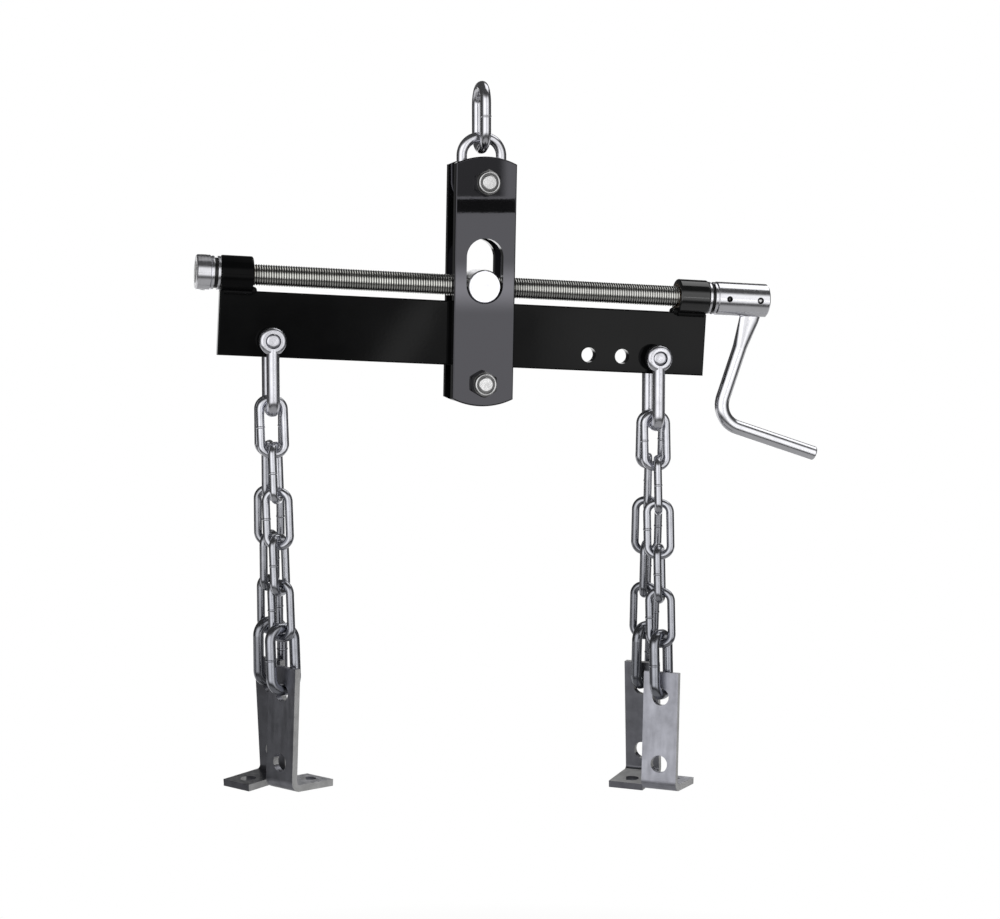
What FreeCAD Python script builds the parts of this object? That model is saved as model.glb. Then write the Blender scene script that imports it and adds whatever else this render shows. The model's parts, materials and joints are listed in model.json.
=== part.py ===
"""Engine load leveler: a beam hung from a sliding yoke, with a crank screw and four chains.

Millimetres. X runs along the beam towards the crank, Y away from the viewer, Z up.
The origin is where a crane hook bears, inside the top of the hook link.
"""
import FreeCAD
import Part
import math
import os
from FreeCAD import Placement, Rotation, Vector

# Clearances
RUNNING_PLAY = 0.08       # radial, a shaft turning or sliding in its bore
PRESS_PLAY = 0.02         # radial, a piece fixed in its bore
BOLT_HOLE_PLAY = 0.25     # radial, a bolt through a plate
LINK_PLAY = 0.35          # between two links, or a link and what it hangs on
END_PLAY = 0.3            # along the screw, between the bearings and the tubes
SLOT_PLAY = 0.3           # under the trunnion, in the bottom of the yoke's slot
CRANK_PLAY = 0.4          # each side of the crank's flat end, in its slot
BEAM_PLAY = 0.5           # between the trunnion's flat and the beam's top edge
FLAT_SIDE_PLAY = 1.0      # each side of the beam, along the trunnion's flat
NECK_PLAY = 3.0           # between the hub and where the crank's flat end starts to round
BEAM_UNDER_PLAY = 4.4     # between the beam's bottom edge and the lower sleeve, room for the tilt

# How the parts hang, in degrees about Y, with the crank end low
YOKE_LEAN = 1.1
BEAM_TILT = 3.1
CRANK_LEAN = 18.8         # the arm's lean towards the beam, where its stiff pivot holds it
BRACKET_DROOP = 3.0       # how far a bracket's heavy foot dips

LINK_END = 3.0            # straight length across each end of a link

# Hook link and ring link
TOP_WIRE_D = 8.5
TOP_LINK_WIDTH = 41.0
TOP_LINK_INSIDE = 41.0

# Yoke
YOKE_WIDTH = 50.0
YOKE_PLATE_THICK = 8.0
YOKE_GAP = 22.0
YOKE_TOP_MARGIN = 21.0    # upper bolt to the top of the plate
YOKE_BOTTOM_MARGIN = 18.3
YOKE_END_RADIUS = 57.0
UPPER_BOLT_TO_SCREW = 82.6
SLOT_WIDTH = 30.0
SLOT_RISE = 38.5          # screw axis to the top of the slot
PLATE_EDGE_ROUND = 1.2

# Yoke bolts
BOLT_D = 12.0
HEX_ACROSS = 19.0
BOLT_HEAD_THICK = 7.5
NUT_THICK = 11.0
NUT_COLLAR = 2.5          # the round locking collar on the nut
BOLT_END = 1.5            # bolt showing past the nut
UPPER_SLEEVE_D = 16.0
LOWER_SLEEVE_D = 18.0

# Trunnion and screw
TRUNNION_D = 27.0
TRUNNION_CHAMFER = 1.0
SCREW_D = 17.0
SCREW_CHAMFER = 1.5
YOKE_OFFSET = 8.8        # from the beam's middle to the yoke, towards the crank

# Beam
BEAM_GAP = 4.2            # under the screw, to the beam's top edge
BEAM_LENGTH = 402.0
BEAM_HEIGHT = 51.8
BEAM_THICK = 10.0
BEAM_EDGE_ROUND = 1.2
PIN_END_MARGIN = 42.0     # each shackle pin to its end of the beam
PIN_MARGIN = 13.2         # pin to the beam's bottom edge
SPARE_HOLE_STEP = 28.5    # from the crank-end pin inwards
SPARE_HOLE_COUNT = 2

# Screw bearings and crank
TUBE_D = 29.0
TUBE_LENGTH = 25.5
TUBE_EDGE_ROUND = 1.5
BUSH_D = 22.0
THRUST_D = 27.0
THRUST_WASHER = 2.2
THRUST_CAGE = 2.6
THRUST_CAGE_D = 24.0
THRUST_EDGE_ROUND = 0.5
COLLAR_D = 28.0
COLLAR_LENGTH = 12.0
COLLAR_CHAMFER = 1.0
CROSS_PIN_D = 5.0
HUB_LENGTH = 45.0
HUB_PIN_INSET = 9.2
HUB_PIVOT_INSET = 36.0
HUB_SCREW_DEPTH = 14.0
PIVOT_PIN_D = 5.5
CRANK_D = 12.0
CRANK_ARM = 105.0         # pivot to the middle line of the handle
CRANK_HANDLE = 93.0
CRANK_BEND_RADIUS = 20.0
CRANK_EYE_RADIUS = 8.5
CRANK_FLAT_THICK = 7.0
CRANK_NECK = 24.0         # length over which the flat end becomes round
CRANK_TIP_ROUND = 1.5

# Shackles
SHACKLE_WIRE_D = 10.5
SHACKLE_SPREAD = 30.0     # between the two legs' middle lines
SHACKLE_LEG = 46.5        # pin to where the bow starts
BOW_BEND_RADIUS = 9.0
SHACKLE_EYE_D = 22.0
SHACKLE_EYE_THICK = 10.0
EYE_EDGE_ROUND = 3.2
SHACKLE_PIN_D = 12.0
PIN_EDGE_ROUND = 1.2

# Chains, with a heavier end link on each
CHAIN_WIRE_D = 6.5
CHAIN_WIDTH = 25.5
CHAIN_INSIDE = 37.0
END_LINK_WIRE_D = 8.6
END_LINK_WIDTH = 32.0
END_LINK_INSIDE = 41.0
FIRST_LINK_SHIFT = 6.0    # each side of the bow's middle, where the two chains start
LINK_ASIDE = 1.5          # how far each second link stands off the middle of the first, clear of its twin
TWIST_SHARE = (0.0, 0.36, 0.4, 0.6, 0.75, 1.0)  # of the end link's turn, link by link

# Brackets
END_LINK_TURN = {"left": 62.0, "right": 45.0}  # degrees about Z
BRACKET_SLEW = 8.0         # how far a bracket is turned back from square to its end link
BRACKET_STAND = {          # where each bracket hangs, along X and Y from the bow's middle
    "left": {"front": (5.7, -21.0), "rear": (0.3, 21.0)},
    "right": {"front": (1.4, -24.5), "rear": (-0.5, 24.5)},
}
BRACKET_WIDTH = 30.0
BRACKET_THICK = 5.5
BRACKET_TOP_MARGIN = 20.5  # upper hole to the top edge
BRACKET_HOLE_STEP = 56.0   # upper hole to lower hole
BRACKET_HOLE_D = 14.3
BRACKET_LOW_MARGIN = 22.5  # lower hole to the underside of the foot
BRACKET_FOOT = 46.0
BRACKET_BEND_INSIDE = 3.0
FOOT_HOLE_D = 13.0
FOOT_HOLE_REACH = 30.0     # upright's middle plane to the foot's hole
BRACKET_SEAT_PLAY = 0.95   # over the link, at the middle of the upper hole

SIDES = {"left": -1, "right": 1}
FACES = {"front": -1, "rear": 1}
X_AXIS = Vector(1, 0, 0)
Y_AXIS = Vector(0, 1, 0)
Z_AXIS = Vector(0, 0, 1)
TINY = 1e-6               # lengths below this count as nothing

# Sizes that follow from the ones above
TOP_REACH = TOP_LINK_INSIDE + TOP_WIRE_D
RING_Z = TOP_WIRE_D / 2 - TOP_REACH + TOP_WIRE_D + LINK_PLAY
UPPER_BOLT_Z = RING_Z - TOP_REACH + TOP_WIRE_D / 2 + LINK_PLAY + UPPER_SLEEVE_D / 2
YOKE_DEPTH = YOKE_GAP + 2 * YOKE_PLATE_THICK
BEAM_LEFT = -YOKE_OFFSET - BEAM_LENGTH / 2
BEAM_RIGHT = BEAM_LEFT + BEAM_LENGTH
BEAM_DROP = SCREW_D / 2 + BEAM_GAP
SCREW_TO_LOWER_BOLT = BEAM_DROP + BEAM_HEIGHT + BEAM_UNDER_PLAY + LOWER_SLEEVE_D / 2
PIN_REACH = BEAM_LENGTH / 2 - PIN_END_MARGIN
PIN_DROP = BEAM_DROP + BEAM_HEIGHT - PIN_MARGIN
THRUST_LENGTH = 2 * THRUST_WASHER + THRUST_CAGE
COLLAR_FACE = BEAM_LEFT - END_PLAY - THRUST_LENGTH
COLLAR_END = COLLAR_FACE - COLLAR_LENGTH
COLLAR_PIN_X = COLLAR_FACE - COLLAR_LENGTH / 2
HUB_FACE = BEAM_RIGHT + END_PLAY + THRUST_LENGTH
HUB_PIN_X = HUB_FACE + HUB_PIN_INSET
PIVOT_X = HUB_FACE + HUB_PIVOT_INSET
NECK_TOP = COLLAR_D / 2 + NECK_PLAY
NECK_LOW = NECK_TOP + CRANK_NECK
BOW_DROP = SHACKLE_LEG + BOW_BEND_RADIUS
BRACKET_HOLE_DROP = BRACKET_HOLE_D / 2 - END_LINK_WIRE_D / 2 - BRACKET_SEAT_PLAY
PLAIN_LINK = (CHAIN_WIDTH, CHAIN_INSIDE, CHAIN_WIRE_D)
END_LINK = (END_LINK_WIDTH, END_LINK_INSIDE, END_LINK_WIRE_D)
CHAIN_LINKS = [PLAIN_LINK] * (len(TWIST_SHARE) - 1) + [END_LINK]

# Frames that the pieces are placed in
YOKE_FRAME = Placement(Vector(0, 0, UPPER_BOLT_Z), Rotation(Y_AXIS, YOKE_LEAN))
TRUNNION_POINT = YOKE_FRAME.multVec(Vector(0, 0, -UPPER_BOLT_TO_SCREW))
BEAM_FRAME = Placement(TRUNNION_POINT, Rotation(Y_AXIS, BEAM_TILT))
CRANK_FRAME = BEAM_FRAME * Placement(Vector(PIVOT_X, 0, 0), Rotation(Y_AXIS, CRANK_LEAN - BEAM_TILT))


def shackle_frame(side):
    """Frame at the middle of a shackle's pin."""
    pin = Vector(-YOKE_OFFSET + SIDES[side] * PIN_REACH, 0, -PIN_DROP)
    return Placement(BEAM_FRAME.multVec(pin), Rotation())


def bow_point(side, face):
    """Middle of the bow's bar under one chain."""
    return shackle_frame(side).multVec(Vector(0, FACES[face] * FIRST_LINK_SHIFT, -BOW_DROP))


def link_rises():
    """How far each link's top bar lies above the bar that it hangs on."""
    bars = [SHACKLE_WIRE_D] + [wire_d for _, _, wire_d in CHAIN_LINKS]
    return [(bar + wire_d) / 2 + LINK_PLAY for bar, wire_d in zip(bars, bars[1:])]


def chain_frames(side, face):
    """Frames of one chain's links, each at its top bar, then the bracket's at the last bottom bar."""
    way = FACES[face]
    rises = link_rises()
    reaches = [inside + wire_d for _, inside, wire_d in CHAIN_LINKS]
    length = sum(reaches) - sum(rises)
    aside = Vector(-way * LINK_ASIDE, 0, 0)
    stand_x, stand_y = BRACKET_STAND[side][face]
    sway = Vector(stand_x, stand_y - way * FIRST_LINK_SHIFT, 0) - aside
    fall = math.sqrt(length ** 2 - sway.Length ** 2)
    lean = Rotation(Vector(0, 0, -1), sway - Vector(0, 0, fall))
    hang = bow_point(side, face)
    frames = []
    for number, share in enumerate(TWIST_SHARE):
        heading = Rotation(Z_AXIS, 90 * (number % 2) - END_LINK_TURN[side] * share)
        top = hang + lean.multVec(Vector(0, 0, rises[number]))
        if number == 1:
            top = top + aside
        frame = Placement(top, lean * heading)
        frames.append(frame)
        hang = frame.multVec(Vector(0, 0, -reaches[number]))
    facing = BRACKET_SLEW - END_LINK_TURN[side] + (0 if face == "front" else 180)
    droop = Rotation(X_AXIS, -BRACKET_DROOP)
    frames.append(Placement(hang, Rotation(Z_AXIS, facing) * droop))
    return frames


def placed(shape, frame):
    """A copy of a shape, moved from its own frame into the world."""
    copy = shape.copy()
    copy.Placement = frame * copy.Placement
    return copy


def rod(start, end, radius):
    """Round bar between two points."""
    return Part.makeCylinder(radius, (end - start).Length, start, end - start)


def tube(start_x, length, outside_d, inside_radius):
    """Round tube along X."""
    start = Vector(start_x, 0, 0)
    return Part.makeCylinder(outside_d / 2, length, start, X_AXIS).cut(
        Part.makeCylinder(inside_radius, length, start, X_AXIS))


def bent_bar(corners, bend_radius, bar_radius, closed=False):
    """Round bar along straight runs, with a tangent arc at each corner."""
    count = len(corners)
    bends = {}
    for i in range(0 if closed else 1, count if closed else count - 1):
        arriving = (corners[i] - corners[i - 1]).normalize()
        leaving = (corners[(i + 1) % count] - corners[i]).normalize()
        turn = arriving.getAngle(leaving)
        run = bend_radius * math.tan(turn / 2)
        axis = arriving.cross(leaving).normalize()
        start = corners[i] - arriving * run
        centre = start + axis.cross(arriving) * bend_radius
        bends[i] = (start, corners[i] + leaving * run, arriving, centre, axis, math.degrees(turn))
    pieces = []
    for start, _, arriving, centre, axis, turn in bends.values():
        section = Part.Face(Part.Wire(Part.Circle(start, arriving, bar_radius).toShape()))
        pieces.append(section.revolve(centre, axis, turn))
    for i in range(count if closed else count - 1):
        after = (i + 1) % count
        start = bends[i][1] if i in bends else corners[i]
        end = bends[after][0] if after in bends else corners[after]
        if (end - start).Length > TINY:
            pieces.append(rod(start, end, bar_radius))
    return pieces[0].multiFuse(pieces[1:]).removeSplitter()


def oval_link(width, inside, wire_d):
    """Welded link in the XZ plane, with its top bar through the origin."""
    half = (width - wire_d) / 2
    low = -inside - wire_d
    corners = [Vector(-half, 0, 0), Vector(half, 0, 0), Vector(half, 0, low), Vector(-half, 0, low)]
    return bent_bar(corners, half - LINK_END / 2, wire_d / 2, closed=True)


def round_edges(shape, radius, chosen):
    """Fillet the edges that the chosen test accepts."""
    return shape.makeFillet(radius, [edge for edge in shape.Edges if chosen(edge)])


def is_end_circle(edge):
    """True for a full circle, such as the rim of a bar."""
    return len(edge.Vertexes) == 1 and isinstance(edge.Curve, Part.Circle)


def rims(shape, diameter):
    """The full circles of one diameter on a round piece."""
    return [e for e in shape.Edges if is_end_circle(e) and abs(e.Curve.Radius - diameter / 2) < TINY]


def hexagon(thick, start_y):
    """Chamfered hexagon block along Y."""
    corner = HEX_ACROSS / math.sqrt(3)
    points = []
    for i in range(7):
        angle = math.radians(60 * i + 90)
        points.append(Vector(corner * math.cos(angle), start_y, corner * math.sin(angle)))
    block = Part.Face(Part.makePolygon(points)).extrude(Vector(0, thick, 0))
    rim = corner - HEX_ACROSS / 2
    drum = Part.makeCylinder(corner, thick, Vector(0, start_y, 0), Y_AXIS)
    return block.common(drum.makeChamfer(rim, rims(drum, 2 * corner)))


def yoke_plate(way):
    """One side plate: round-ended strap with a long slot for the trunnion and two bolt holes."""
    near = way * YOKE_GAP / 2
    far = way * YOKE_DEPTH / 2
    half = YOKE_WIDTH / 2
    sag = YOKE_END_RADIUS - math.sqrt(YOKE_END_RADIUS ** 2 - half ** 2)
    top = YOKE_TOP_MARGIN
    low = -UPPER_BOLT_TO_SCREW - SCREW_TO_LOWER_BOLT - YOKE_BOTTOM_MARGIN

    def at(x, z):
        return Vector(x, near, z)

    outline = Part.Wire([
        Part.Arc(at(-half, top - sag), at(0, top), at(half, top - sag)).toShape(),
        Part.makeLine(at(half, top - sag), at(half, low + sag)),
        Part.Arc(at(half, low + sag), at(0, low), at(-half, low + sag)).toShape(),
        Part.makeLine(at(-half, low + sag), at(-half, top - sag)),
    ])
    plate = Part.Face(outline).extrude(Vector(0, far - near, 0))
    plate = round_edges(plate, PLATE_EDGE_ROUND, lambda e: abs(e.BoundBox.YMin - far) < TINY
                        and abs(e.BoundBox.YMax - far) < TINY)
    slot_half = SLOT_WIDTH / 2
    slot_low = -UPPER_BOLT_TO_SCREW - TRUNNION_D / 2 - SLOT_PLAY + slot_half
    slot_top = -UPPER_BOLT_TO_SCREW + SLOT_RISE - slot_half
    slot = Part.Wire([
        Part.Arc(at(-slot_half, slot_top), at(0, slot_top + slot_half), at(slot_half, slot_top)).toShape(),
        Part.makeLine(at(slot_half, slot_top), at(slot_half, slot_low)),
        Part.Arc(at(slot_half, slot_low), at(0, slot_low - slot_half), at(-slot_half, slot_low)).toShape(),
        Part.makeLine(at(-slot_half, slot_low), at(-slot_half, slot_top)),
    ])
    plate = plate.cut(Part.Face(slot).extrude(Vector(0, far - near, 0)))
    for drop in yoke_bolt_drops():
        hole = rod(at(0, -drop), Vector(0, far, -drop), BOLT_D / 2 + BOLT_HOLE_PLAY)
        plate = plate.cut(hole)
    return plate


def yoke_bolt_drops():
    """How far below the upper bolt each yoke bolt lies."""
    return (0.0, UPPER_BOLT_TO_SCREW + SCREW_TO_LOWER_BOLT)


def yoke_bolt():
    """Hexagon bolt along Y with its head behind the rear plate."""
    front = -YOKE_DEPTH / 2 - NUT_THICK - BOLT_END
    shank = rod(Vector(0, front, 0), Vector(0, YOKE_DEPTH / 2, 0), BOLT_D / 2)
    shank = round_edges(shank, PIN_EDGE_ROUND, lambda e: is_end_circle(e) and e.BoundBox.YMax < 0)
    return shank.fuse(hexagon(BOLT_HEAD_THICK, YOKE_DEPTH / 2)).removeSplitter()


def yoke_nut():
    """Locking nut in front of the front plate, with its round collar outwards."""
    face = -YOKE_DEPTH / 2
    body = hexagon(NUT_THICK - NUT_COLLAR, face - NUT_THICK + NUT_COLLAR)
    collar = rod(Vector(0, face - NUT_THICK, 0), Vector(0, face, 0), HEX_ACROSS / 2 - PIN_EDGE_ROUND)
    collar = round_edges(collar, PIN_EDGE_ROUND,
                         lambda e: is_end_circle(e) and e.BoundBox.YMax < face - NUT_THICK / 2)
    bore = rod(Vector(0, face - NUT_THICK, 0), Vector(0, face, 0), BOLT_D / 2 + PRESS_PLAY)
    return body.fuse(collar).cut(bore).removeSplitter()


def spacer_sleeve(outside_d):
    """Sleeve on a yoke bolt that keeps the plates apart."""
    low = Vector(0, -YOKE_GAP / 2, 0)
    high = Vector(0, YOKE_GAP / 2, 0)
    return rod(low, high, outside_d / 2).cut(rod(low, high, BOLT_D / 2 + BOLT_HOLE_PLAY))


def trunnion_nut():
    """Round cross nut on the screw, riding in the yoke's slots, with a flat over the beam."""
    half = YOKE_DEPTH / 2
    drum = rod(Vector(0, -half, 0), Vector(0, half, 0), TRUNNION_D / 2)
    drum = drum.makeChamfer(TRUNNION_CHAMFER, rims(drum, TRUNNION_D))
    drum = drum.cut(rod(Vector(-TRUNNION_D, 0, 0), Vector(TRUNNION_D, 0, 0), SCREW_D / 2 + RUNNING_PLAY))
    reach = BEAM_THICK / 2 + FLAT_SIDE_PLAY
    flat = Part.makeBox(2 * TRUNNION_D, 2 * reach, TRUNNION_D,
                        Vector(-TRUNNION_D, -reach, BEAM_PLAY - BEAM_DROP - TRUNNION_D))
    return drum.cut(flat)


def pin_places():
    """Distances along the beam of the shackle pins and the spare holes, from the trunnion."""
    places = [-YOKE_OFFSET + sign * PIN_REACH for sign in SIDES.values()]
    for number in range(1, SPARE_HOLE_COUNT + 1):
        places.append(-YOKE_OFFSET + PIN_REACH - number * SPARE_HOLE_STEP)
    return places


def beam():
    """Flat bar with a row of pin holes, coped at both ends for the bearing tubes."""
    bar = Part.makeBox(BEAM_LENGTH, BEAM_THICK, BEAM_HEIGHT,
                       Vector(BEAM_LEFT, -BEAM_THICK / 2, -BEAM_DROP - BEAM_HEIGHT))
    bar = round_edges(bar, BEAM_EDGE_ROUND, lambda e: e.BoundBox.YLength < TINY)
    for x in pin_places():
        hole = rod(Vector(x, -BEAM_THICK, -PIN_DROP), Vector(x, BEAM_THICK, -PIN_DROP),
                   SHACKLE_PIN_D / 2 + RUNNING_PLAY)
        bar = bar.cut(hole)
    for start in tube_starts().values():
        bar = bar.cut(Part.makeCylinder(TUBE_D / 2 + PRESS_PLAY, TUBE_LENGTH, Vector(start, 0, 0), X_AXIS))
    return bar


def tube_starts():
    """Where each bearing tube starts along the screw."""
    return {"left": BEAM_LEFT, "right": BEAM_RIGHT - TUBE_LENGTH}


def bearing_tube(side):
    """Tube welded to a beam end."""
    shell = tube(tube_starts()[side], TUBE_LENGTH, TUBE_D, BUSH_D / 2 + PRESS_PLAY)
    return shell.makeFillet(TUBE_EDGE_ROUND, rims(shell, TUBE_D))


def bush(side):
    """Plain bearing pressed into a tube."""
    return tube(tube_starts()[side], TUBE_LENGTH, BUSH_D, SCREW_D / 2 + RUNNING_PLAY)


def thrust_rings(side):
    """Thrust bearing outside a tube: inner washer, cage and outer washer."""
    way = SIDES[side]
    near = BEAM_RIGHT + END_PLAY if way > 0 else BEAM_LEFT - END_PLAY
    rings = {}
    for name, length, outside_d in (("inner_washer", THRUST_WASHER, THRUST_D),
                                    ("cage", THRUST_CAGE, THRUST_CAGE_D),
                                    ("outer_washer", THRUST_WASHER, THRUST_D)):
        start = near if way > 0 else near - length
        ring = tube(start, length, outside_d, SCREW_D / 2 + PRESS_PLAY)
        rings[name] = ring.makeFillet(THRUST_EDGE_ROUND, rims(ring, outside_d))
        near += way * length
    return rings


def cross_pin(x, direction, diameter, play=0.0):
    """Pin across the screw at one place, as long as the collar is thick."""
    half = direction * (COLLAR_D / 2)
    return rod(Vector(x, 0, 0) - half, Vector(x, 0, 0) + half, diameter / 2 + play)


def screw():
    """Round screw bar through both bearings, drilled for its two cross pins."""
    start = Vector(COLLAR_END, 0, 0)
    bar = rod(start, Vector(HUB_FACE + HUB_SCREW_DEPTH, 0, 0), SCREW_D / 2)
    bar = bar.makeChamfer(SCREW_CHAMFER, rims(bar, SCREW_D))
    bar = bar.cut(cross_pin(COLLAR_PIN_X, Z_AXIS, CROSS_PIN_D, PRESS_PLAY))
    return bar.cut(cross_pin(HUB_PIN_X, Y_AXIS, CROSS_PIN_D, PRESS_PLAY))


def left_collar():
    """Stop collar pinned to the plain end of the screw."""
    ring = tube(COLLAR_END, COLLAR_LENGTH, COLLAR_D, SCREW_D / 2 + PRESS_PLAY)
    ring = ring.makeChamfer(COLLAR_CHAMFER, rims(ring, COLLAR_D))
    return ring.cut(cross_pin(COLLAR_PIN_X, Z_AXIS, CROSS_PIN_D, PRESS_PLAY))


def crank_hub():
    """Hub pinned to the screw, slotted at its outer end for the crank's flat end."""
    hub = Part.makeCylinder(COLLAR_D / 2, HUB_LENGTH, Vector(HUB_FACE, 0, 0), X_AXIS)
    hub = hub.makeChamfer(COLLAR_CHAMFER, rims(hub, COLLAR_D))
    hub = hub.cut(Part.makeCylinder(SCREW_D / 2 + PRESS_PLAY, HUB_SCREW_DEPTH + PRESS_PLAY,
                                    Vector(HUB_FACE, 0, 0), X_AXIS))
    hub = hub.cut(cross_pin(HUB_PIN_X, Y_AXIS, CROSS_PIN_D, PRESS_PLAY))
    hub = hub.cut(cross_pin(PIVOT_X, Y_AXIS, PIVOT_PIN_D, PRESS_PLAY))
    width = CRANK_FLAT_THICK + 2 * CRANK_PLAY
    room = CRANK_EYE_RADIUS + CRANK_PLAY
    slot = Part.makeBox(2 * room + HUB_LENGTH, width, room + COLLAR_D,
                        Vector(PIVOT_X - room, -width / 2, -COLLAR_D))
    lean = math.radians(CRANK_LEAN - BEAM_TILT)
    wedge_reach = room + COLLAR_D * math.tan(lean)
    wedge = Part.makeBox(wedge_reach, width, COLLAR_D, Vector(PIVOT_X - room, -width / 2, -COLLAR_D))
    wedge.rotate(Vector(PIVOT_X, 0, 0), Y_AXIS, math.degrees(lean))
    return hub.cut(slot.fuse(wedge))


def crank_handle():
    """Bent crank rod hanging from its pivot, flattened at the pivot end."""
    eye = Part.makeCylinder(CRANK_EYE_RADIUS, CRANK_FLAT_THICK, Vector(0, -CRANK_FLAT_THICK / 2, 0), Y_AXIS)
    oval = Part.Ellipse(Vector(CRANK_EYE_RADIUS, 0, 0), Vector(0, CRANK_FLAT_THICK / 2, 0),
                        Vector()).toShape()
    root = Part.Face(Part.Wire(oval)).extrude(Vector(0, 0, -NECK_TOP))
    full = Part.Circle(Vector(0, 0, -NECK_LOW), Z_AXIS, CRANK_D / 2).toShape()
    neck_ends = [Part.Wire(oval.translated(Vector(0, 0, -NECK_TOP))), Part.Wire(full)]
    neck = Part.makeLoft(neck_ends, True)
    corners = [Vector(0, 0, -NECK_LOW), Vector(0, 0, -CRANK_ARM), Vector(CRANK_HANDLE, 0, -CRANK_ARM)]
    bar = bent_bar(corners, CRANK_BEND_RADIUS, CRANK_D / 2)
    bar = round_edges(bar, CRANK_TIP_ROUND,
                      lambda e: is_end_circle(e) and e.BoundBox.XMin > CRANK_HANDLE / 2)
    handle = eye.multiFuse([root, neck, bar])
    bore = rod(Vector(0, -CRANK_FLAT_THICK, 0), Vector(0, CRANK_FLAT_THICK, 0),
               PIVOT_PIN_D / 2 + RUNNING_PLAY)
    return handle.cut(bore)


def shackle():
    """Bow with a round eye on each leg, hung from the middle of its pin."""
    half = SHACKLE_SPREAD / 2
    low = -BOW_DROP
    bow = bent_bar([Vector(0, -half, 0), Vector(0, -half, low), Vector(0, half, low), Vector(0, half, 0)],
                   BOW_BEND_RADIUS, SHACKLE_WIRE_D / 2)
    pieces = []
    for way in FACES.values():
        start = Vector(0, way * half - SHACKLE_EYE_THICK / 2, 0)
        eye = Part.makeCylinder(SHACKLE_EYE_D / 2, SHACKLE_EYE_THICK, start, Y_AXIS)
        pieces.append(round_edges(eye, EYE_EDGE_ROUND, is_end_circle))
    whole = bow.multiFuse(pieces)
    reach = half + SHACKLE_EYE_THICK
    return whole.cut(rod(Vector(0, -reach, 0), Vector(0, reach, 0), SHACKLE_PIN_D / 2 + PRESS_PLAY))


def shackle_pin():
    """Round pin through both eyes and the beam."""
    half = (SHACKLE_SPREAD + SHACKLE_EYE_THICK) / 2
    pin = rod(Vector(0, -half, 0), Vector(0, half, 0), SHACKLE_PIN_D / 2)
    return round_edges(pin, PIN_EDGE_ROUND, is_end_circle)


def bracket():
    """Bent strap with two holes in its upright and one in its foot, hung from its upper hole."""
    half = BRACKET_THICK / 2
    hole_z = -BRACKET_HOLE_DROP
    top = hole_z + BRACKET_TOP_MARGIN
    low = hole_z - BRACKET_HOLE_STEP - BRACKET_LOW_MARGIN
    inside = BRACKET_BEND_INSIDE
    outside = inside + BRACKET_THICK
    floor = low + BRACKET_THICK
    tip = BRACKET_FOOT - half
    diagonal = math.sqrt(0.5)

    def at(y, z):
        return Vector(-BRACKET_WIDTH / 2, y, z)

    outer_mid = at(-half + outside * (1 - diagonal), low + outside * (1 - diagonal))
    inner_mid = at(half + inside * (1 - diagonal), floor + inside * (1 - diagonal))
    profile = Part.Wire([
        Part.makeLine(at(-half, top), at(-half, low + outside)),
        Part.Arc(at(-half, low + outside), outer_mid, at(-half + outside, low)).toShape(),
        Part.makeLine(at(-half + outside, low), at(tip, low)),
        Part.makeLine(at(tip, low), at(tip, floor)),
        Part.makeLine(at(tip, floor), at(half + inside, floor)),
        Part.Arc(at(half + inside, floor), inner_mid, at(half, floor + inside)).toShape(),
        Part.makeLine(at(half, floor + inside), at(half, top)),
        Part.makeLine(at(half, top), at(-half, top)),
    ])
    strap = Part.Face(profile).extrude(Vector(BRACKET_WIDTH, 0, 0))
    for z in (hole_z, hole_z - BRACKET_HOLE_STEP):
        strap = strap.cut(rod(Vector(0, -outside, z), Vector(0, outside, z), BRACKET_HOLE_D / 2))
    foot_hole = rod(Vector(0, FOOT_HOLE_REACH, low), Vector(0, FOOT_HOLE_REACH, floor), FOOT_HOLE_D / 2)
    return strap.cut(foot_hole)


def hoist_pieces():
    """Hook link, ring link and the yoke."""
    link = oval_link(TOP_LINK_WIDTH, TOP_LINK_INSIDE, TOP_WIRE_D)
    bolts = []
    nuts = []
    for drop in yoke_bolt_drops():
        spot = Placement(Vector(0, 0, -drop), Rotation())
        bolts.append(placed(yoke_bolt(), YOKE_FRAME * spot))
        nuts.append(placed(yoke_nut(), YOKE_FRAME * spot))
    sleeves = []
    for drop, outside_d in zip(yoke_bolt_drops(), (UPPER_SLEEVE_D, LOWER_SLEEVE_D)):
        spot = Placement(Vector(0, 0, -drop), Rotation())
        sleeves.append(placed(spacer_sleeve(outside_d), YOKE_FRAME * spot))
    return {
        "hook_link": placed(link, Placement(Vector(0, 0, TOP_WIRE_D / 2), Rotation(Z_AXIS, 90))),
        "ring_link": placed(link, Placement(Vector(0, 0, RING_Z), Rotation())),
        "yoke_plate_front": placed(yoke_plate(FACES["front"]), YOKE_FRAME),
        "yoke_plate_rear": placed(yoke_plate(FACES["rear"]), YOKE_FRAME),
        "yoke_bolts": Part.makeCompound(bolts),
        "yoke_nuts": Part.makeCompound(nuts),
        "yoke_sleeves": Part.makeCompound(sleeves),
    }


def beam_pieces():
    """Trunnion, beam, screw with its bearings, and the crank."""
    pieces = {
        "trunnion_nut": trunnion_nut(),
        "beam": beam(),
        "screw": screw(),
        "left_collar": left_collar(),
        "left_collar_pin": cross_pin(COLLAR_PIN_X, Z_AXIS, CROSS_PIN_D),
        "crank_hub": crank_hub(),
        "crank_hub_pin": cross_pin(HUB_PIN_X, Y_AXIS, CROSS_PIN_D),
        "crank_pivot_pin": cross_pin(PIVOT_X, Y_AXIS, PIVOT_PIN_D),
    }
    for side in SIDES:
        pieces[side + "_bearing_tube"] = bearing_tube(side)
        pieces[side + "_bush"] = bush(side)
        for name, ring in thrust_rings(side).items():
            pieces[side + "_thrust_" + name] = ring
    shapes = {name: placed(shape, BEAM_FRAME) for name, shape in pieces.items()}
    shapes["crank_handle"] = placed(crank_handle(), CRANK_FRAME)
    return shapes


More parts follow.
